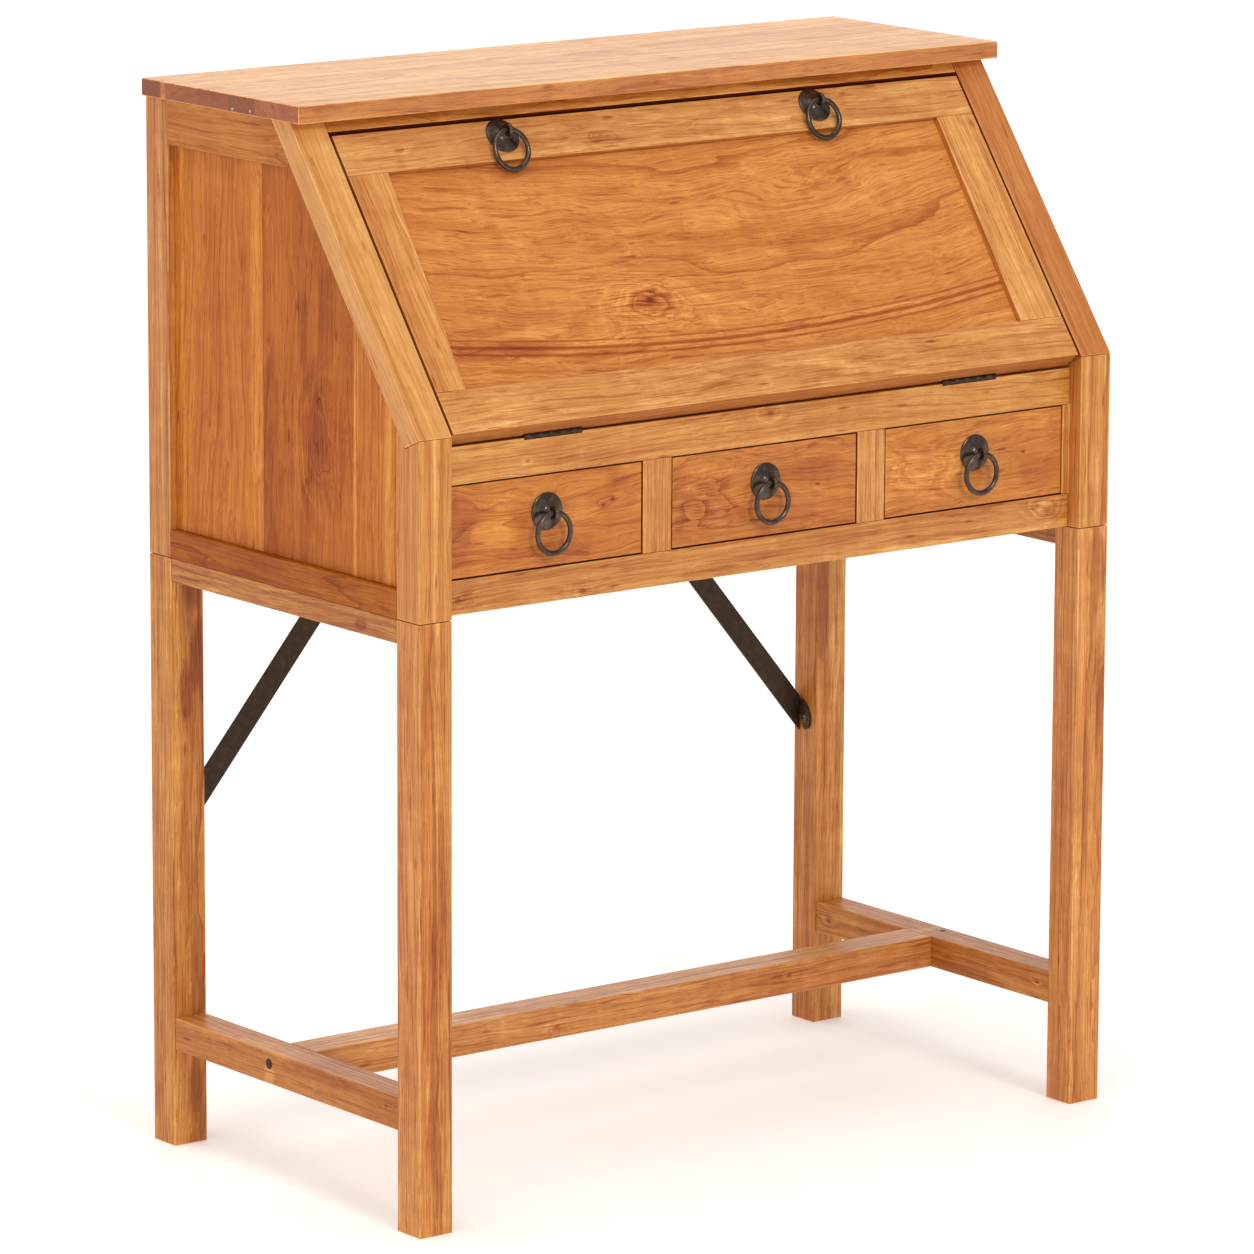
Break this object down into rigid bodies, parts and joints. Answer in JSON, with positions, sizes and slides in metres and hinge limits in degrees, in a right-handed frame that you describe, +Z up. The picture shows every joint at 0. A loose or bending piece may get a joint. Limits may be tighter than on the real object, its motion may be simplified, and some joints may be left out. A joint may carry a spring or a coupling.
{
  "type": "secretary desk",
  "caption": "Fall-front secretary desk: a sloping writing leaf over a row of drawers, on a leg stand with a stretcher and iron braces.",
  "frame": {"origin": "on the floor, in the middle of the desk's outline", "axes": "+Z up, -Y to the front where the sitter is, +X to the sitter's right"},
  "size_m": [0.9, 0.468, 1.108],
  "materials": {
    "leg_wood": "satin honey acacia",
    "frame_wood": "satin honey acacia, lighter",
    "top_wood": "satin pale acacia",
    "panel_wood": "satin orange-brown acacia",
    "leaf_wood": "satin figured acacia",
    "drawer_wood": "satin red-brown acacia",
    "inner_wood": "plain sanded acacia",
    "black_iron": "matt dark brown-black",
    "bronze_iron": "satin antique bronze-black"
  },
  "bodies": {
    "desk": {"leg_front_left": "leg_wood", "leg_front_right": "leg_wood", "leg_rear_left": "leg_wood", "leg_rear_right": "leg_wood", "side_stretcher_left": "leg_wood", "side_stretcher_right": "leg_wood", "centre_stretcher": "leg_wood", "stand_rail_left": "leg_wood", "stand_rail_right": "leg_wood", "front_post_left": "frame_wood", "front_post_right": "frame_wood", "rear_post_left": "frame_wood", "rear_post_right": "frame_wood", "slope_post_left": "frame_wood", "slope_post_right": "frame_wood", "case_rail_bottom_left": "frame_wood", "case_rail_bottom_right": "frame_wood", "case_rail_top_left": "frame_wood", "case_rail_top_right": "frame_wood", "front_rail_upper": "frame_wood", "front_rail_lower": "frame_wood", "drawer_divider_left": "frame_wood", "drawer_divider_right": "frame_wood", "fascia": "frame_wood", "case_rail_rear": "frame_wood", "top_board": "top_wood", "side_panel_left": "panel_wood", "side_panel_right": "panel_wood", "desk_floor": "inner_wood", "bottom_board": "inner_wood", "pigeonhole_shelf": "inner_wood", "pigeonhole_divider": "inner_wood", "back_panel": "inner_wood", "brace_left": "black_iron", "brace_right": "black_iron", "hinge_rail_plate_left": "black_iron", "hinge_rail_plate_right": "black_iron"},
    "leaf": {"leaf_rail_lower": "leaf_wood", "leaf_rail_upper": "leaf_wood", "leaf_stile_left": "leaf_wood", "leaf_stile_right": "leaf_wood", "leaf_panel": "leaf_wood", "hinge_leaf_plate_left": "black_iron", "hinge_leaf_plate_right": "black_iron", "pull_plate_leaf_left": "bronze_iron", "pull_plate_leaf_right": "bronze_iron"},
    "ring_leaf_left": {"pull_ring_leaf_left": "bronze_iron"},
    "ring_leaf_right": {"pull_ring_leaf_right": "bronze_iron"},
    "drawer_left": {"drawer_front_left": "drawer_wood", "drawer_box_left": "inner_wood", "pull_plate_drawer_left": "bronze_iron"},
    "ring_drawer_left": {"pull_ring_drawer_left": "bronze_iron"},
    "drawer_middle": {"drawer_front_middle": "drawer_wood", "drawer_box_middle": "inner_wood", "pull_plate_drawer_middle": "bronze_iron"},
    "ring_drawer_middle": {"pull_ring_drawer_middle": "bronze_iron"},
    "drawer_right": {"drawer_front_right": "drawer_wood", "drawer_box_right": "inner_wood", "pull_plate_drawer_right": "bronze_iron"},
    "ring_drawer_right": {"pull_ring_drawer_right": "bronze_iron"}
  },
  "joints": [
    {"name": "leaf_hinge", "type": "hinge", "parent": "desk", "child": "leaf", "pos_m": [0, -0.2146, 0.7889], "axis": [1, 0, 0], "range_deg": [0, 126.87]},
    {"name": "ring_swing_leaf_left", "type": "hinge", "parent": "leaf", "child": "ring_leaf_left", "pos_m": [-0.201, -0.0511, 1.0667], "axis": [-1, 0, 0], "range_deg": [0, 155]},
    {"name": "ring_swing_leaf_right", "type": "hinge", "parent": "leaf", "child": "ring_leaf_right", "pos_m": [0.201, -0.0511, 1.0667], "axis": [-1, 0, 0], "range_deg": [0, 155]},
    {"name": "drawer_slide_left", "type": "slide", "parent": "desk", "child": "drawer_left", "axis": [0, -1, 0], "range_m": [0, 0.26]},
    {"name": "ring_swing_drawer_left", "type": "hinge", "parent": "drawer_left", "child": "ring_drawer_left", "pos_m": [-0.276, -0.228, 0.712], "axis": [-1, 0, 0], "range_deg": [-14, 150]},
    {"name": "drawer_slide_middle", "type": "slide", "parent": "desk", "child": "drawer_middle", "axis": [0, -1, 0], "range_m": [0, 0.26]},
    {"name": "ring_swing_drawer_middle", "type": "hinge", "parent": "drawer_middle", "child": "ring_drawer_middle", "pos_m": [0, -0.228, 0.712], "axis": [-1, 0, 0], "range_deg": [-14, 150]},
    {"name": "drawer_slide_right", "type": "slide", "parent": "desk", "child": "drawer_right", "axis": [0, -1, 0], "range_m": [0, 0.26]},
    {"name": "ring_swing_drawer_right", "type": "hinge", "parent": "drawer_right", "child": "ring_drawer_right", "pos_m": [0.276, -0.228, 0.712], "axis": [-1, 0, 0], "range_deg": [-14, 150]}
  ]
}
